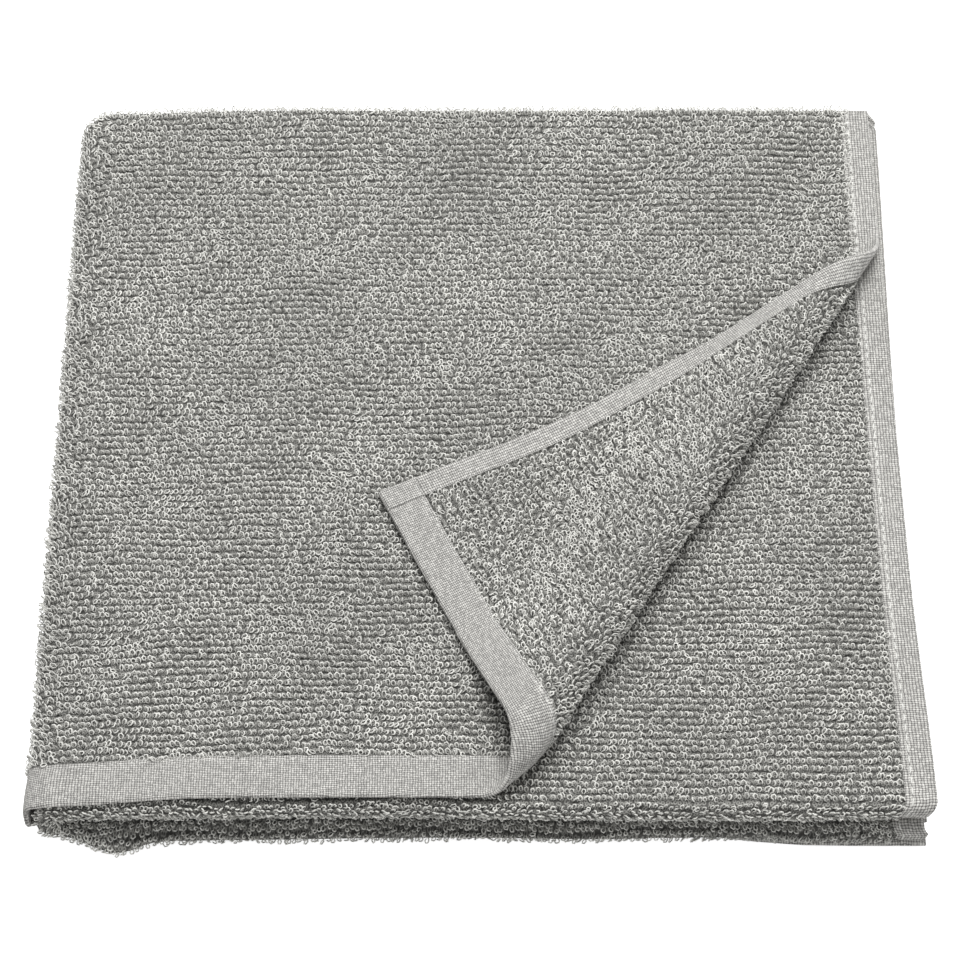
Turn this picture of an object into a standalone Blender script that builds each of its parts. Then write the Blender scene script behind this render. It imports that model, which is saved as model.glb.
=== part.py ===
"""A folded hand towel: one terry panel, folded in four along its length and then in half
across its width, lying on the half fold's lower side. The front right corner of its top layer
is turned back in a soft roll. Metres, +Z up, origin on the surface under the middle."""

import math

import bmesh
import bpy
import numpy as np

# The panel, laid flat, and its cloth.
TOWEL_WIDTH = 0.500
TOWEL_LENGTH = 1.000
CLOTH = 0.0022  # thickness, with the pile on both faces
PITCH = 0.0029  # from one lying layer to the next

# The folded stack.
STACK_WIDTH = 0.2535
STACK_DEPTH = 0.2526
MIDDLE = CLOTH / 2 + 3.5 * PITCH  # height of the plane between the upper and the lower half
WRAP_X = -STACK_WIDTH / 2 + 3.5 * PITCH + CLOTH / 2  # axis of the half fold, on the left
SIDE_RUN = STACK_WIDTH / 2 - WRAP_X  # flat run from the half fold to the side hems
WRAP_LENGTH = TOWEL_WIDTH - 2 * SIDE_RUN  # cloth taken up by the half fold
BACK_Y = STACK_DEPTH / 2 - 1.5 * PITCH - CLOTH / 2  # axis of the folds at the back
FRONT_Y = -STACK_DEPTH / 2 + PITCH + CLOTH / 2  # axis of the fold at the front
HEM_Y = -STACK_DEPTH / 2 + 0.0028  # the end hem, a little behind the folds under it

# The four panels of the fold in four, from the end that shows to the end that is hidden.
# Columns: distance from the middle plane in pitches, y at the start, y at the end.
PANELS = (
    (3.5, HEM_Y, BACK_Y),
    (0.5, BACK_Y, FRONT_Y),
    (2.5, FRONT_Y, BACK_Y),
    (1.5, BACK_Y, FRONT_Y + 0.001),
)

# The turned-back corner: the line that its roll reaches out to, and its curve across that line.
ROLL_START = (0.0124, -0.1222)
ROLL_END = (0.1233, 0.0650)
ROLL_RADII = (0.0078, 0.0054)  # at the start and at the end of the line
ROLL_FALL = math.radians(24.0)  # how steeply the corner comes down behind the roll
ROLL_REST_RADIUS = 0.022  # where it bends back to lie flat
CORNER_LIFT = PITCH  # from the top layer to the corner lying on it
CORNER_DRIFT = 0.070  # pull of the corner along the roll, for each metre past it
CORNER_SLACK = 0.024  # cloth bunched up across the roll, for each metre past it
# The turned-back side hem bows towards the front: x and y of the middle, width, amount.
BOW_X, BOW_Y, BOW_WIDTH, BOW = 0.028, 0.004, 0.045, 0.0046

# The layers' edges don't line up. Columns: level in pitches from the middle plane, shift of the
# right edge outwards at the front and at the back, shift of the front edge forwards.
EDGE_SHIFTS = (
    (-3.5, -0.0020, 0.0012, 0.0026),
    (-2.5, -0.0028, 0.0016, 0.0006),
    (-1.5, -0.0016, 0.0008, 0.0000),
    (-0.5, -0.0032, 0.0018, 0.0002),
    (0.5, -0.0026, 0.0010, 0.0000),
    (1.5, -0.0020, 0.0014, -0.0003),
    (2.5, -0.0002, 0.0006, 0.0000),
    (3.5, -0.0022, -0.0018, 0.0000),
)

LEVELS, *SHIFTS = zip(*EDGE_SHIFTS)

# Where the front edges swell forward. Columns: x, level in pitches, half-width along x,
# half-height in pitches, amount.
FRONT_SWELLS = (
    (-0.101, -3.0, 0.013, 1.6, 0.0022),
    (-0.119, 3.5, 0.022, 1.5, 0.0018),
    (0.060, 1.5, 0.060, 1.5, 0.0010),
    (-0.010, -1.5, 0.045, 1.2, -0.0012),
)

LEFT_SAG = 0.0016  # how much lower the top is along the half fold
SAG_WIDTH = 0.045
WAVES = 0.0003  # height of the long, faint waves in the top

TURN_SEGMENTS = 8
RUN_STEP = 0.030  # most distance between two lines of the mesh on a flat run
SNAP = 0.0004  # a corner of the mesh this near a line is taken to lie on it


def smooth_step(value):
    value = min(max(value, 0.0), 1.0)
    return value * value * (3.0 - 2.0 * value)


def turn_radius(index):
    """Radius of the fold that follows a panel."""
    return abs(PANELS[index + 1][0] - PANELS[index][0]) * PITCH / 2


def along_place(along):
    """(y, distance from the middle plane) of a point this far along the towel."""
    for index, (level, start, end) in enumerate(PANELS):
        run = abs(end - start)
        way = math.copysign(1.0, end - start)
        if along <= run or index == len(PANELS) - 1:
            return start + way * along, level * PITCH
        along -= run
        radius = turn_radius(index)
        if along <= math.pi * radius:
            angle = along / radius
            centre = (level + PANELS[index + 1][0]) * PITCH / 2
            height = (level - PANELS[index + 1][0]) * PITCH / 2
            return end + way * radius * math.sin(angle), centre + height * math.cos(angle)
        along -= math.pi * radius


def across_place(across, distance):
    """(x, z) of a point this far from the upper side hem, in a layer this far from the middle."""
    if across <= SIDE_RUN:
        return STACK_WIDTH / 2 - across, MIDDLE + distance
    if across >= SIDE_RUN + WRAP_LENGTH:
        return WRAP_X + across - SIDE_RUN - WRAP_LENGTH, MIDDLE - distance
    angle = math.pi * (across - SIDE_RUN) / WRAP_LENGTH
    return WRAP_X - distance * math.sin(angle), MIDDLE + distance * math.cos(angle)


def roll_frame():
    """(start, direction along the roll, direction out to the corner, length) in plan."""
    start = np.array(ROLL_START)
    along = np.array(ROLL_END) - start
    length = float(np.linalg.norm(along))
    along = along / length
    return start, along, np.array((along[1], -along[0])), length


def roll_lengths(radius):
    """Lengths of the roll's curl, of its straight fall and of the bend that lays it flat."""
    curl = radius * (math.pi + ROLL_FALL)
    drop = radius * (1 + math.cos(ROLL_FALL)) - CORNER_LIFT
    drop -= ROLL_REST_RADIUS * (1 - math.cos(ROLL_FALL))
    return curl, drop / math.sin(ROLL_FALL), ROLL_REST_RADIUS * ROLL_FALL


def roll_curve(past, radius):
    """(distance outwards from where the curl starts, rise) of a point this far past there."""
    curl, fall, rest = roll_lengths(radius)
    angle = min(past / radius, math.pi + ROLL_FALL)
    out = radius * math.sin(angle)
    rise = radius * (1 - math.cos(angle))
    if past > curl:
        straight = min(past - curl, fall)
        out -= straight * math.cos(ROLL_FALL)
        rise -= straight * math.sin(ROLL_FALL)
    if past > curl + fall:
        left = ROLL_FALL - min((past - curl - fall) / ROLL_REST_RADIUS, ROLL_FALL)
        out -= ROLL_REST_RADIUS * (math.sin(ROLL_FALL) - math.sin(left))
        rise -= ROLL_REST_RADIUS * (math.cos(left) - math.cos(ROLL_FALL))
    if past > curl + fall + rest:
        out -= past - curl - fall - rest
    return out, rise


def turn_corner(x, y, z):
    """Turns back what lies past the roll's line on the top layer."""
    start, along, outwards, length = roll_frame()
    offset = np.array((x, y)) - start
    station = float(offset @ along)
    share = min(max(station / length, -0.2), 1.2)
    radius = ROLL_RADII[0] + (ROLL_RADII[1] - ROLL_RADII[0]) * share
    past = float(offset @ outwards) + radius
    if past <= 0:
        return x, y, z
    out, rise = roll_curve(past, radius)
    plan = start + along * (station + CORNER_DRIFT * past)
    plan += outwards * (out - radius + CORNER_SLACK * past)
    away = (plan - (BOW_X, BOW_Y)) / BOW_WIDTH
    bow = BOW * math.exp(-float(away @ away)) * smooth_step((past - 4 * radius) / BOW_WIDTH)
    return float(plan[0]), float(plan[1]) - bow, z + rise


def settle(x, y, z):
    """The unevenness of a stack folded by hand. It leaves the lowest layer lying flat."""
    level = min(max((z - MIDDLE) / PITCH, -3.5), 3.5)
    front, back, ahead = (np.interp(level, LEVELS, column) for column in SHIFTS)
    share = 0.5 + y / STACK_DEPTH
    shift = front * (1 - share) + back * share
    shift *= min(max((x - WRAP_X) / SIDE_RUN, 0.0), 1.0)
    swells = (
        amount * math.exp(-(((x - at) / wide) ** 2) - ((level - row) / tall) ** 2)
        for at, row, wide, tall, amount in FRONT_SWELLS
    )
    forward = (ahead + sum(swells)) * smooth_step(-2 * y / STACK_DEPTH)
    height = (level + 3.5) / 7
    sag = LEFT_SAG * smooth_step((WRAP_X + SAG_WIDTH - x) / SAG_WIDTH)
    wave = WAVES * math.sin(41 * x + 9 * y + 0.6) * math.cos(33 * y - 12 * x)
    return x + shift, y - forward, z + height * (wave - sag)


def fold(across, along):
    """Where a point of the flat panel lies in the folded towel."""
    y, distance = along_place(along)
    x, z = across_place(across, distance)
    if across < SIDE_RUN and along < BACK_Y - HEM_Y:
        x, y, z = turn_corner(x, y, z)
    return settle(x, y, z)


def run_stations(start, length):
    count = math.ceil(length / RUN_STEP)
    return [start + length * step / count for step in range(count + 1)]


def along_stations():
    """Lines across the towel: evenly on each panel, closely round each fold."""
    stations, start = [], 0.0
    for index, (_, panel_start, panel_end) in enumerate(PANELS):
        length = abs(panel_end - panel_start)
        stations += run_stations(start, length)
        start += length
        if index < len(PANELS) - 1:
            turn = math.pi * turn_radius(index)
            stations += [start + turn * step / TURN_SEGMENTS for step in range(1, TURN_SEGMENTS)]
            start += turn
    return stations


def across_stations():
    """Lines along the towel: evenly on each side, closely round the half fold."""
    wrap = [SIDE_RUN + WRAP_LENGTH * step / TURN_SEGMENTS for step in range(1, TURN_SEGMENTS)]
    return run_stations(0.0, SIDE_RUN) + wrap + run_stations(SIDE_RUN + WRAP_LENGTH, SIDE_RUN)


def cut_line(flat, faces, point, normal):
    """Cuts these faces of the flat panel along a line."""
    edges = {edge for face in faces for edge in face.edges}
    verts = {vert for face in faces for vert in face.verts}
    bmesh.ops.bisect_plane(
        flat,
        geom=list(faces) + list(edges) + list(verts),
        dist=SNAP,
        plane_co=(*point, 0.0),
        plane_no=(*normal, 0.0),
    )


def roll_marks(radius):
    """Distances past the start of the curl at which the roll needs a line of the mesh."""
    curl, fall, rest = roll_lengths(radius)
    marks = [curl * step / TURN_SEGMENTS for step in range(TURN_SEGMENTS + 1)]
    return marks + [curl + fall, curl + fall + rest / 2, curl + fall + rest]


def cut_roll_lines(flat):
    """Cuts the top layer of the flat panel along the lines where the roll bends."""
    start, along, outwards, length = roll_frame()
    front, back = (roll_marks(radius) for radius in ROLL_RADII)
    for near, far in zip(front, back):
        ends = (
            start + outwards * (near - ROLL_RADII[0]),
            start + along * length + outwards * (far - ROLL_RADII[1]),
        )
        first, last = (np.array((STACK_WIDTH / 2 - end[0], end[1] - HEM_Y)) for end in ends)
        line = last - first
        top = [
            face
            for face in flat.faces
            if face.calc_center_median().x < SIDE_RUN
            and face.calc_center_median().y < BACK_Y - HEM_Y
        ]
        cut_line(flat, top, first, (-line[1], line[0]))


def flat_panel():
    """The towel laid flat, cut along every line where it bends."""
    flat = bmesh.new()
    bmesh.ops.create_grid(flat, x_segments=1, y_segments=1, size=0.5)
    for vert in flat.verts:
        vert.co = ((vert.co.x + 0.5) * TOWEL_WIDTH, (vert.co.y + 0.5) * TOWEL_LENGTH, 0.0)
    for station in along_stations()[1:-1]:
        cut_line(flat, flat.faces[:], (0.0, station), (0.0, 1.0))
    for station in across_stations()[1:-1]:
        cut_line(flat, flat.faces[:], (station, 0.0), (1.0, 0.0))
    cut_roll_lines(flat)
    bmesh.ops.triangulate(flat, faces=flat.faces[:])
    return flat


def terry_material():
    material = bpy.data.materials.new("terry")
    material.use_nodes = True
    shader = material.node_tree.nodes["Principled BSDF"]
    shader.inputs["Base Color"].default_value = (0.36, 0.36, 0.34, 1.0)
    shader.inputs["Roughness"].default_value = 0.95
    shader.inputs["Metallic"].default_value = 0.0
    return material


def build_towel(collection):
    """Folds the flat panel and gives it the cloth's thickness."""
    panel = flat_panel()
    for vert in panel.verts:
        vert.co = fold(vert.co.x, vert.co.y)
    mesh = bpy.data.meshes.new("towel")
    panel.to_mesh(mesh)
    panel.free()
    mesh.shade_smooth()
    mesh.materials.append(terry_material())
    towel = bpy.data.objects.new("towel", mesh)
    collection.objects.link(towel)
    solid = towel.modifiers.new("cloth", "SOLIDIFY")
    solid.thickness = CLOTH
    solid.offset = 0.0
    solid.use_even_offset = True
    return towel


def main():
    for old in list(bpy.data.objects):
        bpy.data.objects.remove(old, do_unlink=True)
    collection = bpy.data.collections.new("folded_hand_towel")
    bpy.context.scene.collection.children.link(collection)
    build_towel(collection)


main()
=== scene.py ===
import math
from collections import namedtuple

import bpy
import numpy as np
from bpy.props import FloatProperty, FloatVectorProperty, PointerProperty
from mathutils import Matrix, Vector


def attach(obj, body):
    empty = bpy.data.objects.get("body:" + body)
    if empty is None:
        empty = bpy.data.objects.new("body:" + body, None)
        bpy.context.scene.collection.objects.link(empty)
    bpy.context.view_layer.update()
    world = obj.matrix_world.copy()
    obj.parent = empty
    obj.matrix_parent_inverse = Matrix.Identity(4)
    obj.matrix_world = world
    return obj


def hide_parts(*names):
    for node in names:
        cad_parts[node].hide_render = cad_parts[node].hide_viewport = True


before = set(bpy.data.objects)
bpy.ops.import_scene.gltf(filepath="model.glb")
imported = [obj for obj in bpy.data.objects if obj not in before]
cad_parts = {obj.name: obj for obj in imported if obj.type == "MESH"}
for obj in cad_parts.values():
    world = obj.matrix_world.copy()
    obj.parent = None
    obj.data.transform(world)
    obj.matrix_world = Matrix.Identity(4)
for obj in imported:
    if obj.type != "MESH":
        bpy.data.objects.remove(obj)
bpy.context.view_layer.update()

bl_info = {
    "name": "Folded hand towel",
    "version": (1, 0, 0),
    "blender": (4, 5, 0),
    "location": "3D View > Sidebar > Towel",
    "description": "Weaves, hems and folds a terry hand towel with one corner turned back",
    "category": "Object",
}

NODE = "towel"
BODY = "root"

# The panel, laid flat, and the folded stack. Metres.
TOWEL_WIDTH = 0.500
TOWEL_LENGTH = 1.000
CLOTH = 0.0022  # room that the cloth and its pile take in the stack
PITCH = 0.0029  # from one lying layer to the next
TOP_LEVEL = 3.5  # pitches from the middle plane up to the top layer
STACK_WIDTH = 0.2535
STACK_DEPTH = 0.2526
MIDDLE = CLOTH / 2 + TOP_LEVEL * PITCH
WRAP_X = -STACK_WIDTH / 2 + TOP_LEVEL * PITCH + CLOTH / 2
SIDE_RUN = STACK_WIDTH / 2 - WRAP_X
WRAP_LENGTH = TOWEL_WIDTH - 2 * SIDE_RUN
BACK_Y = STACK_DEPTH / 2 - 1.5 * PITCH - CLOTH / 2
FRONT_Y = -STACK_DEPTH / 2 + PITCH + CLOTH / 2
HEM_Y = -STACK_DEPTH / 2 + 0.0028

# Panels of the fold in four: distance from the middle plane in pitches, y at the start and end.
PANELS = (
    (TOP_LEVEL, HEM_Y, BACK_Y),
    (0.5, BACK_Y, FRONT_Y),
    (2.5, FRONT_Y, BACK_Y),
    (1.5, BACK_Y, FRONT_Y + 0.001),
)

# The roll of the turned-back corner.
ROLL_START = np.array((0.0124, -0.1222))
ROLL_END = np.array((0.1233, 0.0650))
ROLL_RADII = (0.0078, 0.0054)
ROLL_FALL = math.radians(24.0)
ROLL_REST_RADIUS = 0.022
CORNER_LIFT = PITCH
CORNER_DRIFT = 0.070
CORNER_SLACK = 0.024
BOW_X, BOW_Y, BOW_WIDTH, BOW = 0.028, 0.004, 0.045, 0.0046

# Level in pitches, shift of the right edge at the front and at the back, shift of the front.
EDGE_SHIFTS = (
    (-3.5, -0.0020, 0.0012, 0.0026),
    (-2.5, -0.0028, 0.0016, 0.0006),
    (-1.5, -0.0016, 0.0008, 0.0000),
    (-0.5, -0.0032, 0.0018, 0.0002),
    (0.5, -0.0026, 0.0010, 0.0000),
    (1.5, -0.0020, 0.0014, -0.0003),
    (2.5, -0.0002, -0.0012, 0.0000),
    (3.5, -0.0022, -0.0018, 0.0000),
)
LEVELS, *SHIFTS = zip(*EDGE_SHIFTS)

# Swells of the front edges: x, level, half-width, half-height in pitches, amount.
FRONT_SWELLS = (
    (-0.105, -2.8, 0.009, 1.3, 0.0080),
    (-0.119, 3.5, 0.022, 1.5, 0.0018),
    (0.060, 1.5, 0.060, 1.5, 0.0010),
    (-0.010, -1.5, 0.045, 1.2, -0.0012),
)
LEFT_SAG = 0.0016
SAG_WIDTH = 0.045
WAVES = 0.0003
WAVE_X, WAVE_Y = (41, 9, 0.6), (-12, 33)  # radians a metre along x and y, and a start

# How the soft cloth strays from the plain folds. Each pair says where along x, y or the level
# an effect starts and where it is full.
BACK_SWELL = 0.0047
BACK_ZONE = (0.070, 0.125)
LEFT_DRAW, LEFT_REACH = 0.0015, 0.12
RIGHT_BOW, BOW_EASE = 0.0018, 0.35
BOW_GROWS, BOW_EASES = (0.0, 0.32), (0.6, 1.0)  # shares of the depth, from the front
FRONT_ZONE = (-0.100, -0.120)
NOSE_SWELL, NOSE_ZONE = 0.0015, (-0.106, -0.116)
FRONT_DROPS = ((-3.5, 0.0), (-2.5, 0.0022), (-0.5, 0.0030), (0.3, 0.0004), (0.8, 0.0), (3.5, 0.0))
FRONT_DRAWS = ((-1.8, 0.0), (-1.2, 0.0020), (-0.5, 0.0036), (0.5, 0.0004), (1.5, 0.0))
DRAW_LEFT, DRAW_RIGHT = (-0.108, -0.096), (0.122, 0.102)
LOW_FOLD_SWELL, LOW_FOLD_ZONE = 0.0038, (0.09, 0.03)
LOW_FOLD_LEVEL, LOW_FOLD_TALL = -2.3, 0.8
LOW_LEVELS = (-0.8, -3.2)
LOW_HEM_RETREAT, RETREAT_ZONE = 0.0042, (0.10, 0.04)
LOW_HEM_SWELL, LOW_SWELL_ZONE = 0.0012, (0.04, 0.09)

# At the front the roll of the corner is pinched: how far its line draws in, and how much of its
# radius it loses, each over a length from the start of the pinch.
PINCH_START = -0.006
PINCH_DRAW, PINCH_DRAW_LENGTH = 0.0047, 0.018
PINCH_SHARE, PINCH_LENGTH = 0.44, 0.020

# The hems, and how far each face stands off the middle of the cloth.
SIDE_HEM = 0.0074
END_HEM = 0.0130
GROUND = 0.00045
HEM_FRONT = 0.00065
HEM_BACK = 0.00115
CORNER_EXTRA = 0.00040  # where the end hem lies over the side hem
SEAM_GROOVE = 0.00045  # how deep the line beside a side hem is pressed in
SIDE_WEAVE = 0.84  # how much coarser the side hems are woven
HEM_EDGE = 0.0011  # how far in the rounding of a hem's edge reaches
HEM_STEP = 0.0002  # width over which a hem grows out of the ground
GROOVE_WIDTH, GROOVE_INSET, GROOVE_SHARE = 0.0003, 0.0004, 0.4
AXIS_REACH = 0.0002  # step for measuring the cloth's directions
RIM = 0.0003  # the directions of the outermost cloth are those this far in
PILE_GAP = 0.0020  # flat cloth between the side hem and the first loops
FIRST_ROW = END_HEM + 0.0002
ROW_WANDER = 0.00055


# ---- the fold

def turn_radius(index):
    return abs(PANELS[index + 1][0] - PANELS[index][0]) * PITCH / 2


def panel_starts():
    """Distance along the towel at which each panel starts."""
    starts = [0.0]
    for index in range(len(PANELS) - 1):
        run = abs(PANELS[index][2] - PANELS[index][1])
        starts.append(starts[-1] + run + math.pi * turn_radius(index))
    return starts


def along_place(along):
    """y and distance from the middle plane of points this far along the towel."""
    y, away = np.empty_like(along), np.empty_like(along)
    for index, (start, (level, first, last)) in enumerate(zip(panel_starts(), PANELS)):
        way = math.copysign(1.0, last - first)
        here = along >= start
        y[here] = first + way * (along[here] - start)
        away[here] = level * PITCH
        if index == len(PANELS) - 1:
            break
        radius = turn_radius(index)
        turn = along > start + abs(last - first)
        angle = (along[turn] - start - abs(last - first)) / radius
        centre = (level + PANELS[index + 1][0]) * PITCH / 2
        height = (level - PANELS[index + 1][0]) * PITCH / 2
        y[turn] = last + way * radius * np.sin(angle)
        away[turn] = centre + height * np.cos(angle)
    return y, away


def across_place(across, away):
    """x and z of points this far from the upper side hem."""
    angle = np.clip((across - SIDE_RUN) / WRAP_LENGTH, 0, 1) * math.pi
    x = WRAP_X - away * np.sin(angle)
    x = x + np.clip(SIDE_RUN - across, 0, None)
    x = x + np.clip(across - SIDE_RUN - WRAP_LENGTH, 0, None)
    return x, MIDDLE + away * np.cos(angle)


def roll_axes():
    along = ROLL_END - ROLL_START
    length = float(np.linalg.norm(along))
    along = along / length
    return along, np.array((along[1], -along[0])), length


def roll_place(x, y):
    """For points of the top layer: radius of the roll there, way along it, distance past its start."""
    along, outwards, length = roll_axes()
    station = (x - ROLL_START[0]) * along[0] + (y - ROLL_START[1]) * along[1]
    beyond = (x - ROLL_START[0]) * outwards[0] + (y - ROLL_START[1]) * outwards[1]
    share = np.clip(station / length, -0.2, 1.2)
    radius = ROLL_RADII[0] + (ROLL_RADII[1] - ROLL_RADII[0]) * share
    opened = smooth_step((station - PINCH_START) / PINCH_LENGTH)
    radius = radius * (1 - PINCH_SHARE + PINCH_SHARE * opened)
    return radius, station, beyond + pinch_draw(station) + radius


def pinch_draw(station):
    """How far the roll's line draws in at this way along it."""
    return PINCH_DRAW * (1 - smooth_step((station - PINCH_START) / PINCH_DRAW_LENGTH))


def roll_lengths(radius):
    curl = radius * (math.pi + ROLL_FALL)
    drop = radius * (1 + math.cos(ROLL_FALL)) - CORNER_LIFT
    drop = drop - ROLL_REST_RADIUS * (1 - math.cos(ROLL_FALL))
    return curl, drop / math.sin(ROLL_FALL), ROLL_REST_RADIUS * ROLL_FALL


def roll_curve(past, radius):
    """Distance outwards and rise, this far past the start of the curl."""
    curl, fall, rest = roll_lengths(radius)
    angle = np.clip(past / radius, 0, math.pi + ROLL_FALL)
    straight = np.clip(past - curl, 0, fall)
    left = ROLL_FALL - np.clip((past - curl - fall) / ROLL_REST_RADIUS, 0, ROLL_FALL)
    out = radius * np.sin(angle) - straight * math.cos(ROLL_FALL)
    out = out - ROLL_REST_RADIUS * (math.sin(ROLL_FALL) - np.sin(left))
    out = out - np.clip(past - curl - fall - rest, 0, None)
    rise = radius * (1 - np.cos(angle)) - straight * math.sin(ROLL_FALL)
    rise = rise - ROLL_REST_RADIUS * (np.cos(left) - math.cos(ROLL_FALL))
    return out, rise


def smooth_step(value):
    value = np.clip(value, 0, 1)
    return value * value * (3 - 2 * value)


def ramp(value, ends):
    """0 up to the first of the two ends, 1 past the second, and smooth between them."""
    first, last = ends
    return smooth_step((value - first) / (last - first))


def turn_corner(x, y, z):
    along, outwards, _ = roll_axes()
    radius, station, past = roll_place(x, y)
    out, rise = roll_curve(np.clip(past, 0, None), radius)
    out = out - radius - pinch_draw(station) + CORNER_SLACK * past
    station = station + CORNER_DRIFT * past
    turned_x = ROLL_START[0] + along[0] * station + outwards[0] * out
    turned_y = ROLL_START[1] + along[1] * station + outwards[1] * out
    reach = ((turned_x - BOW_X) ** 2 + (turned_y - BOW_Y) ** 2) / BOW_WIDTH**2
    turned_y = turned_y - BOW * np.exp(-reach) * smooth_step((past - 4 * radius) / BOW_WIDTH)
    turned = past > 0
    return (
        np.where(turned, turned_x, x),
        np.where(turned, turned_y, y),
        np.where(turned, z + rise, z),
    )


def front_forward(x, level, near):
    """How much further forward the front folds lie, on top of their swells."""
    between = near * ramp(x, DRAW_LEFT) * ramp(x, DRAW_RIGHT)
    low = near * ramp(level, LOW_LEVELS)
    low_fold = np.exp(-(((level - LOW_FOLD_LEVEL) / LOW_FOLD_TALL) ** 2)) * ramp(x, LOW_FOLD_ZONE)
    forward = between * (LOW_FOLD_SWELL * low_fold - np.interp(level, *zip(*FRONT_DRAWS)))
    hem = LOW_HEM_SWELL * ramp(x, LOW_SWELL_ZONE) - LOW_HEM_RETREAT * ramp(x, RETREAT_ZONE)
    return forward + low * hem


def sideways(x, reach, share, near):
    """Shift to the right at this reach from the half fold and share of the depth from the front."""
    bow = ramp(share, BOW_GROWS) - BOW_EASE * ramp(share, BOW_EASES)
    left = LEFT_DRAW * (1 - share) * np.clip(-x / LEFT_REACH, 0, 1)
    return left - NOSE_SWELL * near * ramp(x, NOSE_ZONE) - RIGHT_BOW * bow * reach**3


def settle(x, y, z):
    """The unevenness of a stack folded by hand. It leaves the lowest layer lying flat."""
    level = np.clip((z - MIDDLE) / PITCH, -TOP_LEVEL, TOP_LEVEL)
    front, back, ahead = (np.interp(level, LEVELS, column) for column in SHIFTS)
    share = 0.5 + y / STACK_DEPTH
    near = ramp(y, FRONT_ZONE)
    reach = np.clip((x - WRAP_X) / SIDE_RUN, 0, 1)
    shift = (front * (1 - share) + back * share) * reach + sideways(x, reach, share, near)
    forward = ahead
    for at, row, wide, tall, amount in FRONT_SWELLS:
        forward = forward + amount * np.exp(-(((x - at) / wide) ** 2) - ((level - row) / tall) ** 2)
    forward = forward * smooth_step(-2 * y / STACK_DEPTH) + front_forward(x, level, near)
    height = (level + TOP_LEVEL) / (2 * TOP_LEVEL)
    sag = LEFT_SAG * smooth_step((WRAP_X + SAG_WIDTH - x) / SAG_WIDTH)
    along_x, along_y, start = WAVE_X
    wave = np.sin(along_x * x + along_y * y + start)
    wave = WAVES * wave * np.cos(WAVE_Y[0] * x + WAVE_Y[1] * y)
    drop = near * np.interp(level, *zip(*FRONT_DROPS))
    back_swell = BACK_SWELL * height * ramp(y, BACK_ZONE)
    return x + shift, y - forward + back_swell, z + height * (wave - sag) - drop


def fold(across, along):
    """Where points of the flat panel lie in the folded towel, as rows of x, y and z."""
    y, away = along_place(along)
    x, z = across_place(across, away)
    top = (across < SIDE_RUN) & (along < BACK_Y - HEM_Y)
    turned = turn_corner(x, y, z)
    x, y, z = (np.where(top, new, old) for new, old in zip(turned, (x, y, z)))
    return np.stack(settle(x, y, z), axis=-1)


def unit(vectors):
    return vectors / np.maximum(np.linalg.norm(vectors, axis=-1, keepdims=True), 1e-12)


def cloth_axes(across, along, reach=AXIS_REACH):
    """Place, direction across, direction along and front-face normal at points of the panel."""
    place = fold(across, along)
    right = fold(across + reach, along) - fold(across - reach, along)
    ahead = fold(across, along + reach) - fold(across, along - reach)
    normal = unit(np.cross(ahead, right))
    return place, unit(right), unit(ahead), normal


# ---- mesh helpers

def make_piece(name, verts, faces, materials, smooth=True):
    mesh = bpy.data.meshes.new(name)
    mesh.vertices.add(len(verts))
    mesh.vertices.foreach_set("co", np.asarray(verts, np.float32).ravel())
    faces = np.asarray(faces, np.int32)
    mesh.loops.add(faces.size)
    mesh.loops.foreach_set("vertex_index", faces.ravel())
    mesh.polygons.add(len(faces))
    mesh.polygons.foreach_set("loop_start", np.arange(len(faces), dtype=np.int32) * faces.shape[1])
    mesh.polygons.foreach_set("use_smooth", np.full(len(faces), smooth))
    mesh.update(calc_edges=True)
    for material in materials:
        mesh.materials.append(material)
    piece = bpy.data.objects.new(name, mesh)
    bpy.context.scene.collection.objects.link(piece)
    return piece


def add_map(piece, name, values):
    """A UV map from one pair of values for each corner of each face."""
    layer = piece.data.uv_layers.new(name=name)
    layer.uv.foreach_set("vector", np.asarray(values, np.float32).ravel())


def add_values(piece, name, values):
    attribute = piece.data.attributes.new(name, "FLOAT", "POINT")
    attribute.data.foreach_set("value", np.asarray(values, np.float32))


def dress(piece):
    """Puts a piece on the towel's body."""
    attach(piece, BODY)
    return piece


# ---- shader helpers

def add_node(tree, kind, inputs=None, **settings):
    node = tree.nodes.new(kind)
    for name, value in settings.items():
        setattr(node, name, value)
    for name, value in (inputs or {}).items():
        node.inputs[name].default_value = value
    return node


def new_group(name, inputs, outputs):
    """An empty shader group. It takes a vector and these numbers, and puts out other numbers."""
    tree = bpy.data.node_groups.new(name, "ShaderNodeTree")
    tree.interface.new_socket("Vector", in_out="INPUT", socket_type="NodeSocketVector")
    for label, value in inputs.items():
        socket = tree.interface.new_socket(label, in_out="INPUT", socket_type="NodeSocketFloat")
        socket.default_value = value
    for label in outputs:
        tree.interface.new_socket(label, in_out="OUTPUT", socket_type="NodeSocketFloat")
    return tree, tree.nodes.new("NodeGroupInput"), tree.nodes.new("NodeGroupOutput")


def maths(tree, operation, first, second=None, third=None):
    node = add_node(tree, "ShaderNodeMath", operation=operation)
    for index, value in enumerate((first, second, third)):
        if value is None:
            continue
        if isinstance(value, (int, float)):
            node.inputs[index].default_value = value
        else:
            tree.links.new(value, node.inputs[index])
    return node.outputs[0]


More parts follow.
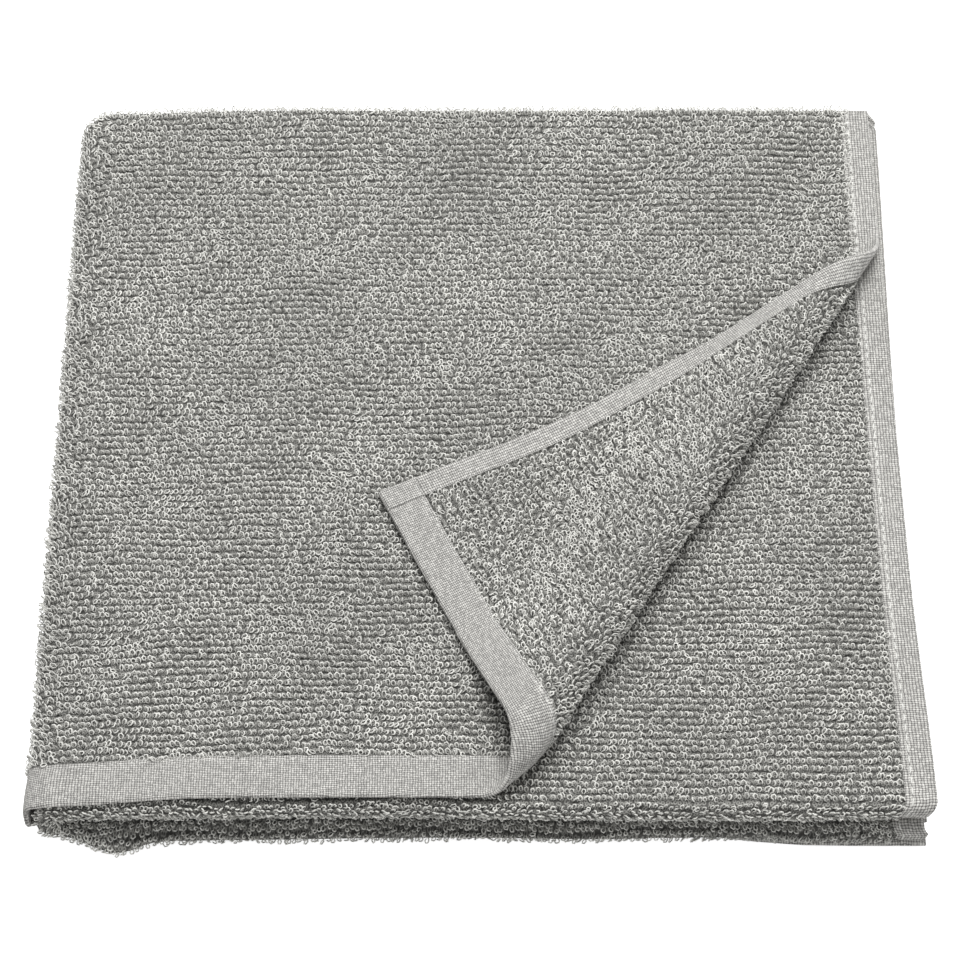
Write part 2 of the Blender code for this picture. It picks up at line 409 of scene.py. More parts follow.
def plain_weave_group():
    """Over-and-under threads. Puts out the height of the upper thread, and a chance value for each."""
    tree, entry, leave = new_group(
        "plain weave",
        {"Thread across": 0.00076, "Thread along": 0.00060},
        ("Height", "Chance"),
    )
    waver = add_node(tree, "ShaderNodeTexNoise", {"Scale": 520.0, "Detail": 1.0})
    tree.links.new(entry.outputs["Vector"], waver.inputs["Vector"])
    moved = add_node(tree, "ShaderNodeVectorMath", {1: (0.00055, 0.00045, 0.0)}, operation="MULTIPLY_ADD")
    tree.links.new(waver.outputs["Color"], moved.inputs[0])
    tree.links.new(entry.outputs["Vector"], moved.inputs[2])
    split = add_node(tree, "ShaderNodeSeparateXYZ")
    tree.links.new(moved.outputs[0], split.inputs[0])
    cells, bulges = [], []
    for axis, label in (("X", "Thread across"), ("Y", "Thread along")):
        place = maths(tree, "DIVIDE", split.outputs[axis], entry.outputs[label])
        cell = maths(tree, "FLOOR", place)
        off = maths(tree, "MULTIPLY_ADD", maths(tree, "SUBTRACT", place, cell), 2.0, -1.0)
        cells.append(cell)
        bulges.append(maths(tree, "MULTIPLY", off, off))
    parity = maths(tree, "FLOORED_MODULO", maths(tree, "ADD", *cells), 2.0)
    height = 0.0
    other = maths(tree, "SUBTRACT", 1.0, parity)
    for on_top, (narrow, wide) in ((parity, bulges), (other, bulges[::-1])):
        fall = maths(tree, "MULTIPLY_ADD", wide, 0.30, maths(tree, "MULTIPLY", narrow, 0.85))
        bump = maths(tree, "MAXIMUM", maths(tree, "SUBTRACT", 1.0, fall), 0.0)
        height = maths(tree, "MULTIPLY_ADD", bump, on_top, height)
    joined = add_node(tree, "ShaderNodeCombineXYZ")
    for socket, cell in zip(("X", "Y"), cells):
        tree.links.new(cell, joined.inputs[socket])
    chance = add_node(tree, "ShaderNodeTexWhiteNoise", noise_dimensions="2D")
    tree.links.new(joined.outputs[0], chance.inputs["Vector"])
    tree.links.new(height, leave.inputs["Height"])
    tree.links.new(chance.outputs["Value"], leave.inputs["Chance"])
    return tree


def fibre_group():
    """Fine cotton fibre and slow unevenness of the dye. Puts out a factor round 1 and a height."""
    tree, entry, leave = new_group(
        "cotton fibre",
        {"Fibre scale": 2600.0, "Dye scale": 26.0},
        ("Tone", "Height"),
    )
    fine = add_node(tree, "ShaderNodeTexNoise", {"Detail": 3.0, "Roughness": 0.65})
    slow = add_node(tree, "ShaderNodeTexNoise", {"Detail": 2.0, "Roughness": 0.5})
    for node, scale in ((fine, "Fibre scale"), (slow, "Dye scale")):
        tree.links.new(entry.outputs["Vector"], node.inputs["Vector"])
        tree.links.new(entry.outputs[scale], node.inputs["Scale"])
    tone = maths(tree, "MULTIPLY_ADD", fine.outputs["Fac"], 0.30, 0.85)
    slow_tone = maths(tree, "MULTIPLY_ADD", slow.outputs["Fac"], 0.12, 0.94)
    tree.links.new(maths(tree, "MULTIPLY", tone, slow_tone), leave.inputs["Tone"])
    tree.links.new(fine.outputs["Fac"], leave.inputs["Height"])
    return tree


def terry_rows_and_painted_shade_group():
    """The woven ground between rows of loops. Puts out tone and height; the tone is painted shade,
    darkest on the line between rows, with lighter painted rings of loops round darker hollows.
    """
    tree, entry, leave = new_group(
        "terry rows and painted shade",
        {"Thread pitch": 0.00078, "Row pitch": 0.00222, "First row": 0.0132},
        ("Tone", "Height"),
    )
    split = add_node(tree, "ShaderNodeSeparateXYZ")
    tree.links.new(entry.outputs["Vector"], split.inputs[0])
    across = maths(tree, "DIVIDE", split.outputs["X"], entry.outputs["Thread pitch"])
    along = maths(tree, "SUBTRACT", split.outputs["Y"], entry.outputs["First row"])
    along = maths(tree, "DIVIDE", along, entry.outputs["Row pitch"])
    along = maths(tree, "COSINE", maths(tree, "MULTIPLY_ADD", along, 2 * math.pi, -0.84 * math.pi))
    across = maths(tree, "COSINE", maths(tree, "MULTIPLY", across, 2 * math.pi))
    height = maths(tree, "MULTIPLY_ADD", across, 0.05, maths(tree, "MULTIPLY_ADD", along, 0.40, 0.5))
    spacing = {"Scale": 880.0, "Randomness": 0.8}
    # Lighter rings round darker hollows: painted loops, their hollows painted shade.
    knots = add_node(tree, "ShaderNodeTexVoronoi", spacing, voronoi_dimensions="2D")
    tree.links.new(entry.outputs["Vector"], knots.inputs["Vector"])
    ring = maths(tree, "ABSOLUTE", maths(tree, "SUBTRACT", knots.outputs["Distance"], 0.34))
    ring = maths(tree, "MAXIMUM", maths(tree, "MULTIPLY_ADD", ring, -4.5, 1.0), 0.0)
    # Darkest on the line between rows: painted shadow of the loops.
    row = maths(tree, "MULTIPLY_ADD", height, 0.62, 0.36)
    tone = maths(tree, "MULTIPLY", row, maths(tree, "MULTIPLY_ADD", ring, 1.5, 0.5))
    tree.links.new(tone, leave.inputs["Tone"])
    relief = maths(tree, "MULTIPLY_ADD", ring, 0.35, maths(tree, "MULTIPLY", height, 0.65))
    tree.links.new(relief, leave.inputs["Height"])
    return tree


def shared_group(name, build):
    return bpy.data.node_groups.get(name) or build()


def new_material(name, roughness, sheen):
    material = bpy.data.materials.new(name)
    material.use_nodes = True
    shader = material.node_tree.nodes["Principled BSDF"]
    values = {"Roughness": roughness, "Sheen Weight": sheen, "Sheen Roughness": 0.6}
    for label, value in (values | {"Specular IOR Level": 0.15}).items():
        shader.inputs[label].default_value = value
    return material, material.node_tree, shader


def use_group(tree, name, build, vector, **values):
    node = add_node(tree, "ShaderNodeGroup")
    node.node_tree = shared_group(name, build)
    tree.links.new(vector, node.inputs["Vector"])
    for label, value in values.items():
        node.inputs[label.replace("_", " ")].default_value = value
    return node


def paint(tree, shader, colour, *tones):
    """Gives the shader the colour times each of these tones."""
    vector = add_node(tree, "ShaderNodeRGB")
    vector.outputs[0].default_value = (*colour, 1.0)
    shade = vector.outputs[0]
    for tone in tones:
        scale = add_node(tree, "ShaderNodeVectorMath", operation="SCALE")
        tree.links.new(shade, scale.inputs[0])
        tree.links.new(tone, scale.inputs["Scale"])
        shade = scale.outputs[0]
    tree.links.new(shade, shader.inputs["Base Color"])


def bumped(tree, shader, height, distance, strength):
    bump = add_node(tree, "ShaderNodeBump", {"Distance": distance, "Strength": strength})
    tree.links.new(height, bump.inputs["Height"])
    tree.links.new(bump.outputs[0], shader.inputs["Normal"])


def yarn_material(colour):
    """The pile yarn: each loop a little lighter or darker, and darker towards its root: painted shade."""
    material, tree, shader = new_material("pile_yarn", 0.92, 0.12)
    place = add_node(tree, "ShaderNodeTexCoord")
    fibre = use_group(tree, "cotton fibre", fibre_group, place.outputs["Object"])
    # yarn_shade holds each loop's own tone times the painted shade towards its root.
    shade = add_node(tree, "ShaderNodeAttribute", attribute_name="yarn_shade")
    paint(tree, shader, colour, fibre.outputs["Tone"], shade.outputs["Fac"])
    bumped(tree, shader, fibre.outputs["Height"], 0.00008, 0.6)
    return material


def ground_material(colour):
    """The woven ground under the loops, its colour darkened with painted shade: painted shadows along the
    rows and painted rings of loops.
    """
    material, tree, shader = new_material("terry_ground_painted_shade", 0.95, 0.0)
    flat = add_node(tree, "ShaderNodeUVMap", uv_map="flat")
    rows = use_group(tree, "terry rows and painted shade", terry_rows_and_painted_shade_group, flat.outputs[0], First_row=FIRST_ROW)
    fibre = use_group(tree, "cotton fibre", fibre_group, flat.outputs[0])
    paint(tree, shader, colour, rows.outputs["Tone"], fibre.outputs["Tone"])
    bumped(tree, shader, rows.outputs["Height"], 0.0005, 0.8)
    return material


def hem_material(colour):
    """The plain-woven hem, darker where its threads dip: painted shade in the hollows of the weave."""
    material, tree, shader = new_material("hem_weave", 0.88, 0.08)
    flat = add_node(tree, "ShaderNodeUVMap", uv_map="flat")
    weave = use_group(tree, "plain weave", plain_weave_group, flat.outputs[0])
    fibre = use_group(tree, "cotton fibre", fibre_group, flat.outputs[0])
    # Dark where the threads dip and light on their crowns: painted shade in the weave's hollows.
    tone = maths(tree, "MULTIPLY_ADD", weave.outputs["Height"], 1.55, 0.12)
    chance = maths(tree, "MULTIPLY_ADD", weave.outputs["Chance"], 0.46, 0.77)
    paint(tree, shader, colour, tone, chance, fibre.outputs["Tone"])
    bumped(tree, shader, weave.outputs["Height"], 0.00025, 0.9)
    return material


def thread_material(colour):
    material, tree, shader = new_material("sewing_thread", 0.7, 0.1)
    place = add_node(tree, "ShaderNodeTexCoord")
    fibre = use_group(tree, "cotton fibre", fibre_group, place.outputs["Object"])
    paint(tree, shader, colour, fibre.outputs["Tone"])
    bumped(tree, shader, fibre.outputs["Height"], 0.00005, 0.5)
    return material


MATERIALS = {
    "pile_yarn": yarn_material,
    "terry_ground_painted_shade": ground_material,
    "hem_weave": hem_material,
    "sewing_thread": thread_material,
}


def shared_material(name, colour):
    return bpy.data.materials.get(name) or MATERIALS[name](colour)


# ---- the cloth

# Lines of the cloth's mesh, in from its edge and outwards from a hem's inner edge.
EDGE_LINES = np.array((0.0, 0.00006, 0.0002, 0.0004, 0.0007, HEM_EDGE))
HEM_LINES = np.array((-0.0003, -0.0001, 0.0001, 0.0004, 0.0008, 0.0013))

# Steps between the other lines: where the top shows most, elsewhere on top, by the half fold
# below, and in the layers hidden inside.
FIRST_LINE = 0.0015
FINE_ACROSS, FINE_ALONG, PLAIN_STEP, FOLD_STEP, HIDDEN_STEP = 0.0025, 0.0028, 0.006, 0.0032, 0.014
FINE_WIDTH, FINE_LENGTH = 0.126, 0.195
PLAIN_WIDTH, PLAIN_LENGTH = 0.130, 0.198
FOLD_LINES, HIDDEN_LINES = (0.002, 0.032), 0.040
WRAP_LINES, TURN_LINES, TURN_GAP = 23, 17, 0.003


def both_edges(near, length):
    return np.concatenate((near, length - near))


def across_stations():
    fine = np.arange(FIRST_LINE, FINE_WIDTH, FINE_ACROSS)
    plain = np.arange(PLAIN_WIDTH, SIDE_RUN, PLAIN_STEP)
    wrap = SIDE_RUN + WRAP_LENGTH * np.linspace(0, 1, WRAP_LINES)
    under = SIDE_RUN + WRAP_LENGTH
    near = np.arange(under + FOLD_LINES[0], under + FOLD_LINES[1], FOLD_STEP)
    far = np.arange(under + HIDDEN_LINES, TOWEL_WIDTH - 0.002, HIDDEN_STEP)
    edges = both_edges(EDGE_LINES, TOWEL_WIDTH), both_edges(SIDE_HEM + HEM_LINES, TOWEL_WIDTH)
    return tidy_stations(np.concatenate((fine, plain, wrap, near, far) + edges))


def along_stations():
    fine = np.arange(FIRST_LINE, FINE_LENGTH, FINE_ALONG)
    lines = [fine, np.arange(PLAIN_LENGTH, BACK_Y - HEM_Y, PLAIN_STEP)]
    for index, start in enumerate(panel_starts()[1:]):
        turn = math.pi * turn_radius(index)
        lines.append(start - turn * np.linspace(0, 1, TURN_LINES))
        run = abs(PANELS[index + 1][2] - PANELS[index + 1][1])
        lines.append(np.arange(start + TURN_GAP, start + run, HIDDEN_STEP))
    edges = [both_edges(EDGE_LINES, TOWEL_LENGTH), both_edges(END_HEM + HEM_LINES, TOWEL_LENGTH)]
    stations = np.concatenate(lines + edges)
    return tidy_stations(stations[(stations >= 0) & (stations <= TOWEL_LENGTH)])


def tidy_stations(values):
    """Sorted, without lines that nearly coincide."""
    values = np.sort(values)
    keep = np.concatenate(([True], np.diff(values) > 0.00005))
    return values[keep]


def from_edge(values, length):
    return np.minimum(values, length - values)


def face_offsets(across, along):
    """How far the front and the back face stand off the middle of the cloth."""
    side, end = from_edge(across, TOWEL_WIDTH), from_edge(along, TOWEL_LENGTH)
    in_side = smooth_step((SIDE_HEM - side) / HEM_STEP + 0.5)
    in_end = smooth_step((END_HEM - end) / HEM_STEP + 0.5)
    in_hem = np.maximum(in_side, in_end)
    rounding = 1 - np.clip(np.minimum(side, end) / HEM_EDGE, 0, 1)
    rounding = np.sqrt(np.clip(1 - rounding**2, 0, 1))
    front = GROUND + (HEM_FRONT - GROUND) * in_hem
    back = GROUND + (HEM_BACK - GROUND) * in_hem + CORNER_EXTRA * in_side * in_end
    beside = np.exp(-(((side - SIDE_HEM - GROOVE_INSET) / GROOVE_WIDTH) ** 2))
    back = back - SEAM_GROOVE * beside * np.where(end < END_HEM, 1.0, GROOVE_SHARE)
    crossing = np.exp(-(((end - END_HEM) / GROOVE_WIDTH) ** 2))
    back = back - SEAM_GROOVE * crossing * (side < SIDE_HEM)
    return front * rounding, back * rounding


def woven_places(across, along):
    """Where points lie on the weave, which the half fold spreads and which wanders a little."""
    fine = np.linspace(0, TOWEL_WIDTH, 4001)
    reach = np.concatenate(([0.0], np.cumsum(stretch_across(fine[:-1], TOP_LEVEL)) * fine[1]))
    return np.stack((np.interp(across, fine, reach), along - row_wander(across, along)), axis=-1)


def build_cloth():
    """The one folded sheet: front and back faces joined along the panel's edge."""
    across, along = across_stations(), along_stations()
    grid = np.meshgrid(across, along, indexing="xy")
    flat_across, flat_along = (values.ravel() for values in grid)
    place = fold(flat_across, flat_along)
    _, _, _, normal = cloth_axes(
        np.clip(flat_across, RIM, TOWEL_WIDTH - RIM),
        np.clip(flat_along, RIM, TOWEL_LENGTH - RIM),
    )
    front, back = face_offsets(flat_across, flat_along)
    columns, rows = len(across), len(along)
    index = np.arange(columns * rows).reshape(rows, columns)
    rim = np.zeros((rows, columns), bool)
    rim[[0, -1], :] = True
    rim[:, [0, -1]] = True
    under = np.where(rim, index, columns * rows + np.cumsum(~rim.ravel()).reshape(rim.shape) - 1)
    inner = ~rim.ravel()
    verts = np.concatenate(
        (place + normal * front[:, None], (place - normal * back[:, None])[inner])
    )
    verts[:, 2] = np.maximum(verts[:, 2], 0.0)
    upper = quads_of(index)
    lower = quads_of(under)[:, ::-1]
    faces = np.concatenate((upper, lower))
    flat = np.stack((flat_across, flat_along), axis=-1)
    every = np.concatenate((flat, flat[inner]))
    order = np.concatenate((upper.ravel(), quads_of(index)[:, ::-1].ravel()))
    piece = make_piece("folded_cloth", verts, faces, ())
    spread = flat[order] / (TOWEL_WIDTH, TOWEL_LENGTH) * (0.49, 0.98) + 0.005
    spread[upper.size:, 0] += 0.5
    add_map(piece, "OFBake", spread)
    middle = every[faces].mean(axis=1)
    side, end = from_edge(middle[:, 0], TOWEL_WIDTH), from_edge(middle[:, 1], TOWEL_LENGTH)
    is_front = np.arange(len(faces)) < len(upper)
    flat_strip = np.where(is_front, PILE_GAP, 0.0)
    hem = (side < SIDE_HEM + flat_strip) | (end < END_HEM)
    coarse = np.where(hem & (end > END_HEM), SIDE_WEAVE, 1.0)
    woven = woven_places(flat_across, flat_along)
    add_map(piece, "flat", woven[order] * np.repeat(coarse, 4)[:, None])
    return piece, hem.astype(np.int32)


def quads_of(index):
    return np.stack(
        (index[:-1, :-1], index[1:, :-1], index[1:, 1:], index[:-1, 1:]), axis=-1
    ).reshape(-1, 4)


# ---- the pile

LOOP_ANGLES = np.radians((-165, -99, -33, 33, 99, 165))
YARN_SIDES = 3
LOOP_HALF_WIDTH, LOOP_HALF_HEIGHT, LOOP_SKEW = 0.00062, 0.00080, 0.00045
FEET = 0.00010  # height of a loop's feet over the ground
# Degrees by which loops lean and turn together in patches, and each by itself.
LEAN_TOGETHER, LEAN_ALONE = 12, 13
TURN_TOGETHER, TURN_ALONE = 28, 34
LEAN_PATCH, TURN_PATCH, SHADE_PATCH = 0.03, 0.022, 0.05
# Loops that would reach further than the dip below the floor are left out.
FLOOR_DIP, FLOOR_GAP = 0.0002, 0.00005

# How far apart the rows are, how uneven the loops are, how far they turn with the turned-back
# cloth, their size, and the degrees by which they lean.
LoopStyle = namedtuple("LoopStyle", "crowd mess facing scale tilt")
PLAIN = LoopStyle(1.0, 1.0, 0.0, 1.0, 45)
NOSE = LoopStyle(1.0, 1.3, 0.0, 1.1, 42)
BACK = LoopStyle(1.1, 1.2, 0.0, 1.0, 40)
FRONT = LoopStyle(0.52, 1.0, 0.0, 0.86, 56)
CORNER = LoopStyle(0.80, 1.5, 0.8, 0.92, 42)

# How far the areas of pile reach over the folds, and at the turned-back corner.
PAST_WRAP, PAST_BACK = 0.002, 0.001
FRONT_REACH, FRONT_OVER, SECOND_START, SECOND_LENGTH = 0.003, 0.0015, 0.0005, 0.235
CORNER_WIDTH, CORNER_LENGTH, CORNER_INSET = 0.125, 0.200, 0.0012
BACK_LEVEL, FRONT_LEVEL, SECOND_LEVEL = 2.6, 1.5, 2.5
ROLL_SHOWS = 2.9  # radii along the roll over which its pile shows from outside
COVERED = 0.012  # how far in from its edges the corner hides what is below
SHOWN_PAST_ROLL, SHOWN_AT_FRONT, CORNER_FROM = 0.013, 0.007, 0.003


def drift(across, along, seed, wavelength):
    """Smooth unevenness between about -1 and 1 over the flat cloth."""
    rng = np.random.default_rng(seed)
    total = np.zeros_like(across)
    for _ in range(6):
        angle, phase = rng.uniform(0, 2 * math.pi, 2)
        length = wavelength * rng.uniform(0.5, 1.6)
        way = across * math.cos(angle) + along * math.sin(angle)
        total += np.sin(2 * math.pi * way / length + phase)
    return total / 2.4


def row_wander(across, along):
    """How far the rows of loops wander from straight lines."""
    return ROW_WANDER * drift(across, along, 14, 0.05)


def tube_faces(count, steps, sides):
    """The faces of this many tubes, each of a few rings of points."""
    ring = np.arange(steps * sides).reshape(steps, sides)
    after = np.roll(ring, -1, axis=1)
    quads = np.stack((ring[:-1], ring[1:], after[1:], after[:-1]), axis=-1).reshape(-1, 4)
    return (quads[None] + (np.arange(count) * ring.size)[:, None, None]).reshape(-1, 4)


def loop_rings(half_width, half_height, skew, yarn):
    """Rings of points round the yarn of upright loops, as their x, y and z."""
    wide, tall = half_width[:, None], half_height[:, None]
    angle = LOOP_ANGLES[None, :]
    up = tall * (np.cos(angle) - math.cos(LOOP_ANGLES[0]))
    aside = skew[:, None] * angle / LOOP_ANGLES[-1]
    line = np.stack((wide * np.sin(angle), aside, up), axis=-1)
    outwards = np.stack((tall * np.sin(angle), np.zeros_like(up), wide * np.cos(angle)), axis=-1)
    turns = 2 * math.pi * np.arange(YARN_SIDES) / YARN_SIDES
    outwards = np.cos(turns)[:, None] * unit(outwards)[:, :, None, :]
    outwards = outwards + np.sin(turns)[:, None] * np.array((0.0, 1.0, 0.0))
    rings = line[:, :, None, :] + yarn[:, None, None, None] * outwards
    return rings[..., 0], rings[..., 1], rings[..., 2]


def turned(first, second, angle):
    """Two coordinates of each loop's points, turned by the loop's own angle."""
    cos, sin = np.cos(angle)[:, None, None], np.sin(angle)[:, None, None]
    return first * cos - second * sin, first * sin + second * cos


def yarn_loops(across, along, face, size, rng, style):
    """Verts, faces and shades of one pile loop at each of these points of the cloth."""
    count = len(across)
    place, right, ahead, normal = cloth_axes(across, along)
    lean = style.tilt + LEAN_TOGETHER * drift(across, along, 11, LEAN_PATCH)
    lean = np.radians(lean + style.mess * rng.normal(0, LEAN_ALONE, count))
    yaw = TURN_TOGETHER * drift(across, along, 12, TURN_PATCH)
    yaw = np.radians(yaw + style.mess * rng.normal(0, TURN_ALONE, count))
    yaw = yaw + style.facing * np.arctan2(-right[:, 1], ahead[:, 1])
    scale = style.scale * size.loop_scale
    half_width = LOOP_HALF_WIDTH * scale * rng.uniform(0.80, 1.2, count)
    half_height = LOOP_HALF_HEIGHT * scale * rng.uniform(0.72, 1.25, count)
    yarn = size.yarn_radius * rng.uniform(0.88, 1.12, count)
    skew = LOOP_SKEW * rng.uniform(-0.6, 1.0, count)
    x, y, z = loop_rings(half_width, half_height, skew, yarn)
    y, z = turned(y, z, -lean)
    x, y = turned(x, y, yaw)
    z = z + GROUND + FEET
    right, ahead, up = (axis[:, None, None, :] for axis in (right, ahead, normal * face))
    verts = place[:, None, None, :] + x[..., None] * right + y[..., None] * ahead + z[..., None] * up
    above = verts[..., 2].min(axis=(1, 2)) > -FLOOR_DIP
    across, along, verts = across[above], along[above], verts[above]
    verts[..., 2] = np.maximum(verts[..., 2], FLOOR_GAP)
    count = len(across)
    shade = rng.uniform(0.84, 1.14, count) * (1 + 0.05 * drift(across, along, 13, SHADE_PATCH))
    # Darker towards each loop's root: painted shade where the loops crowd together.
    root = 1 - 0.10 * np.clip(-np.cos(LOOP_ANGLES), 0, 1)
    shades = shade[:, None, None] * root[None, :, None] * np.ones((1, 1, YARN_SIDES))
    faces = tube_faces(count, len(LOOP_ANGLES), YARN_SIDES)
    return verts.reshape(-1, 3), faces, shades.ravel()


def loop_map(count):
    """A place of its own on the map for every loop."""
    cells = math.ceil(math.sqrt(count))
    steps, sides = len(LOOP_ANGLES) - 1, YARN_SIDES
    step, side = np.divmod(np.arange(steps * sides), sides)
    corner = np.array(((0, 0), (1, 0), (1, 1), (0, 1)))
    quad_x = (step[:, None] + corner[None, :, 0]) / steps
    quad_y = (side[:, None] + corner[None, :, 1]) / sides
    cell_y, cell_x = np.divmod(np.arange(count), cells)
    map_x = (cell_x[:, None, None] + 0.05 + 0.9 * quad_x[None]) / cells
    map_y = (cell_y[:, None, None] + 0.05 + 0.9 * quad_y[None]) / cells
    return np.stack((map_x, map_y), axis=-1).reshape(-1, 2)


def stretch_across(across, level):
    """How much the half fold spreads the cloth's width at this level."""
    in_wrap = (across > SIDE_RUN) & (across < SIDE_RUN + WRAP_LENGTH)
    return np.where(in_wrap, abs(level) * PITCH * math.pi / WRAP_LENGTH, 1.0)


def loop_places(area, size, rng, style):
    """Staggered rows of points over an area, given by its ends across and along and its level."""
    first_across, last_across, first_along, last_along, level = area
    pitch = size.row_pitch * style.crowd
    rows = np.arange(math.ceil((first_along - FIRST_ROW) / pitch), (last_along - FIRST_ROW) / pitch)
    rows = rows * pitch + FIRST_ROW
    fine = np.linspace(first_across, last_across, 4000)
    spread = np.cumsum(stretch_across(fine[:-1], level)) * (fine[1] - fine[0])
    reach = np.concatenate(([0.0], spread))
    across, along = [], []
    for number, row in enumerate(rows):
        steps = np.arange(0.5 * (number % 2), reach[-1] / size.loop_pitch) * size.loop_pitch
        steps = steps + rng.normal(0, 0.11 * style.mess, len(steps)) * size.loop_pitch
        across.append(np.interp(steps, reach, fine))
        along.append(row + rng.normal(0, 0.00020 * style.mess, len(steps)))
    across, along = np.concatenate(across), np.concatenate(along)
    along += row_wander(across, along)
    return np.clip(across, first_across, last_across), along


def build_pile(name, area, face, style, size, material, keep=None):
    """One piece of pile over an area of the cloth, where keep allows."""
    rng = np.random.default_rng(abs(hash_name(name)))
    across, along = loop_places(area, size, rng, style)
    if keep is not None:
        kept = keep(across, along)
        across, along = across[kept], along[kept]
    verts, faces, shades = yarn_loops(across, along, face, size, rng, style)
    piece = make_piece(name, verts, faces, (material,))
    add_values(piece, "yarn_shade", shades)
    add_map(piece, "OFBake", loop_map(len(shades) // (len(LOOP_ANGLES) * YARN_SIDES)))
    return dress(piece)


def hash_name(name):
    """A seed that stays the same from run to run."""
    return sum((place + 1) * ord(letter) for place, letter in enumerate(name))


def top_past(across, along):
    """Distance past the start of the curl, for points of the top layer."""
    return roll_place(STACK_WIDTH / 2 - across, HEM_Y + along)


def corner_triangle():
    """Plan of the turned-back corner: its tip and the two ends of its roll."""
    tip = fold(np.array((0.0,)), np.array((0.0,)))[0, :2]
    return tip, ROLL_START, ROLL_END


def under_corner(across, along, margin):
    """Whether a lying point is covered by the turned-back corner, by more than a margin."""
    place = fold(across, along)
    tip, start, end = corner_triangle()
    inside = np.ones(len(across), bool)
    for first, second in ((tip, start), (start, end), (end, tip)):
        side = unit(second - first)
        distance = (place[:, 0] - first[0]) * side[1] - (place[:, 1] - first[1]) * side[0]
        inside &= -distance > margin
    return inside


def keep_top(across, along):
    radius, _, past = top_past(across, along)
    return (past < ROLL_SHOWS * radius) & ~((past < 0) & under_corner(across, along, COVERED))


def keep_corner(across, along):
    _, _, past = top_past(across, along)
    return past > -CORNER_FROM


def keep_second(across, along):
    """Of the second layer, what the turned-back corner uncovers."""
    place = fold(across, along)
    _, outwards, _ = roll_axes()
    beyond = (place[:, :2] - ROLL_START) @ outwards
    return (beyond > -SHOWN_PAST_ROLL) | (place[:, 1] < FRONT_Y + SHOWN_AT_FRONT)


def pile_areas():
    """The pile that shows. Columns: name, face, style, area of the cloth, which loops to keep."""
    starts = panel_starts()
    top_first, top_last = END_HEM, BACK_Y - HEM_Y
    first, last = SIDE_HEM + 0.0002, TOWEL_WIDTH - SIDE_HEM - 0.0002
    wrap = SIDE_RUN + WRAP_LENGTH + PAST_WRAP
    third = (top_last - top_first) / 3
    thirds = top_first, top_first + third, top_first + 2 * third, top_last
    tops = [(first, SIDE_RUN, *thirds[index : index + 2], TOP_LEVEL) for index in range(3)]
    front_first = starts[2] - math.pi * turn_radius(1) - FRONT_REACH
    second_first = starts[2] + SECOND_START
    front_last = second_first - FRONT_OVER
    second_last = second_first + SECOND_LENGTH
    strip = SIDE_HEM + PILE_GAP
    side = SIDE_RUN, wrap, top_first, top_last, TOP_LEVEL
    back = first, last, top_last, starts[1] + PAST_BACK, BACK_LEVEL
    front = strip, TOWEL_WIDTH - strip, front_first, front_last, FRONT_LEVEL
    second = strip, SIDE_RUN, front_last, second_last, SECOND_LEVEL
    corner = SIDE_HEM + CORNER_INSET, CORNER_WIDTH, END_HEM, CORNER_LENGTH, TOP_LEVEL
    return (
        ("pile_top_front", 1, PLAIN, tops[0], keep_top),
        ("pile_top_middle", 1, PLAIN, tops[1], keep_top),
        ("pile_top_back", 1, PLAIN, tops[2], keep_top),
        ("pile_left_side", 1, NOSE, side, None),
        ("pile_back_folds", 1, BACK, back, None),
        ("pile_front_folds", 1, FRONT, front, None),
        ("pile_second_layer", 1, PLAIN, second, keep_second),
        ("pile_turned_corner", -1, CORNER, corner, keep_corner),
    )


# ---- the sewing

STITCH_STEPS = 4
STITCH_SIDES = 4
STITCH_WIDTHS = (0.6, 1.0, 1.0, 0.6)
THREAD_SUNK = 0.8  # radii by which the ends of a stitch sink into the cloth
SIDE_SEAM_INSET, END_SEAM_INSET = 0.0005, 0.0012  # in from the hem's inner edge
SIDE_SEAM_END, END_SEAM_END = 0.004, 0.003
SIDE_SEAM_LIFT, END_SEAM_LIFT = 0.00018, 0.00004


def stitch_row(start, end, face, length, gap, thread, lift):
    """Verts and faces of a row of stitches between two points of the flat panel."""
    start, end = np.array(start), np.array(end)
    whole = float(np.linalg.norm(end - start))
    way = (end - start) / whole
    count = int(whole / (length + gap))
    begins = np.arange(count) * (length + gap)
    share = np.linspace(0, 1, STITCH_STEPS)
    flat = start + way * (begins[:, None] + length * share)[..., None]
    across, along = flat[..., 0].ravel(), flat[..., 1].ravel()
    place, right, ahead, normal = cloth_axes(across, along)
    front, back = face_offsets(across, along)
    off = np.where(face > 0, front, back)
    rise = np.tile(np.sin(math.pi * share) ** 0.5 * lift - thread * THREAD_SUNK, count)
    normal = normal * face
    centre = place + normal * (off + rise)[:, None]
    side = unit(right * -way[1] + ahead * way[0])
    turns = 2 * math.pi * np.arange(STITCH_SIDES) / STITCH_SIDES
    width = thread * np.tile(STITCH_WIDTHS, count)
    outwards = np.cos(turns)[:, None] * side[:, None, :] + np.sin(turns)[:, None] * normal[:, None, :]
    verts = centre[:, None, :] + width[:, None, None] * outwards
    verts = verts.reshape(-1, 3)
    verts[:, 2] = np.maximum(verts[:, 2], FLOOR_GAP)
    return verts, tube_faces(count, STITCH_STEPS, STITCH_SIDES)


def build_stitches(name, rows, colour):
    verts, faces, total = [], [], 0
    for row in rows:
        row_verts, row_faces = stitch_row(*row)
        verts.append(row_verts)
        faces.append(row_faces + total)
        total += len(row_verts)
    material = shared_material("sewing_thread", colour)
    return dress(make_piece(name, np.concatenate(verts), np.concatenate(faces), (material,)))


# ---- settings

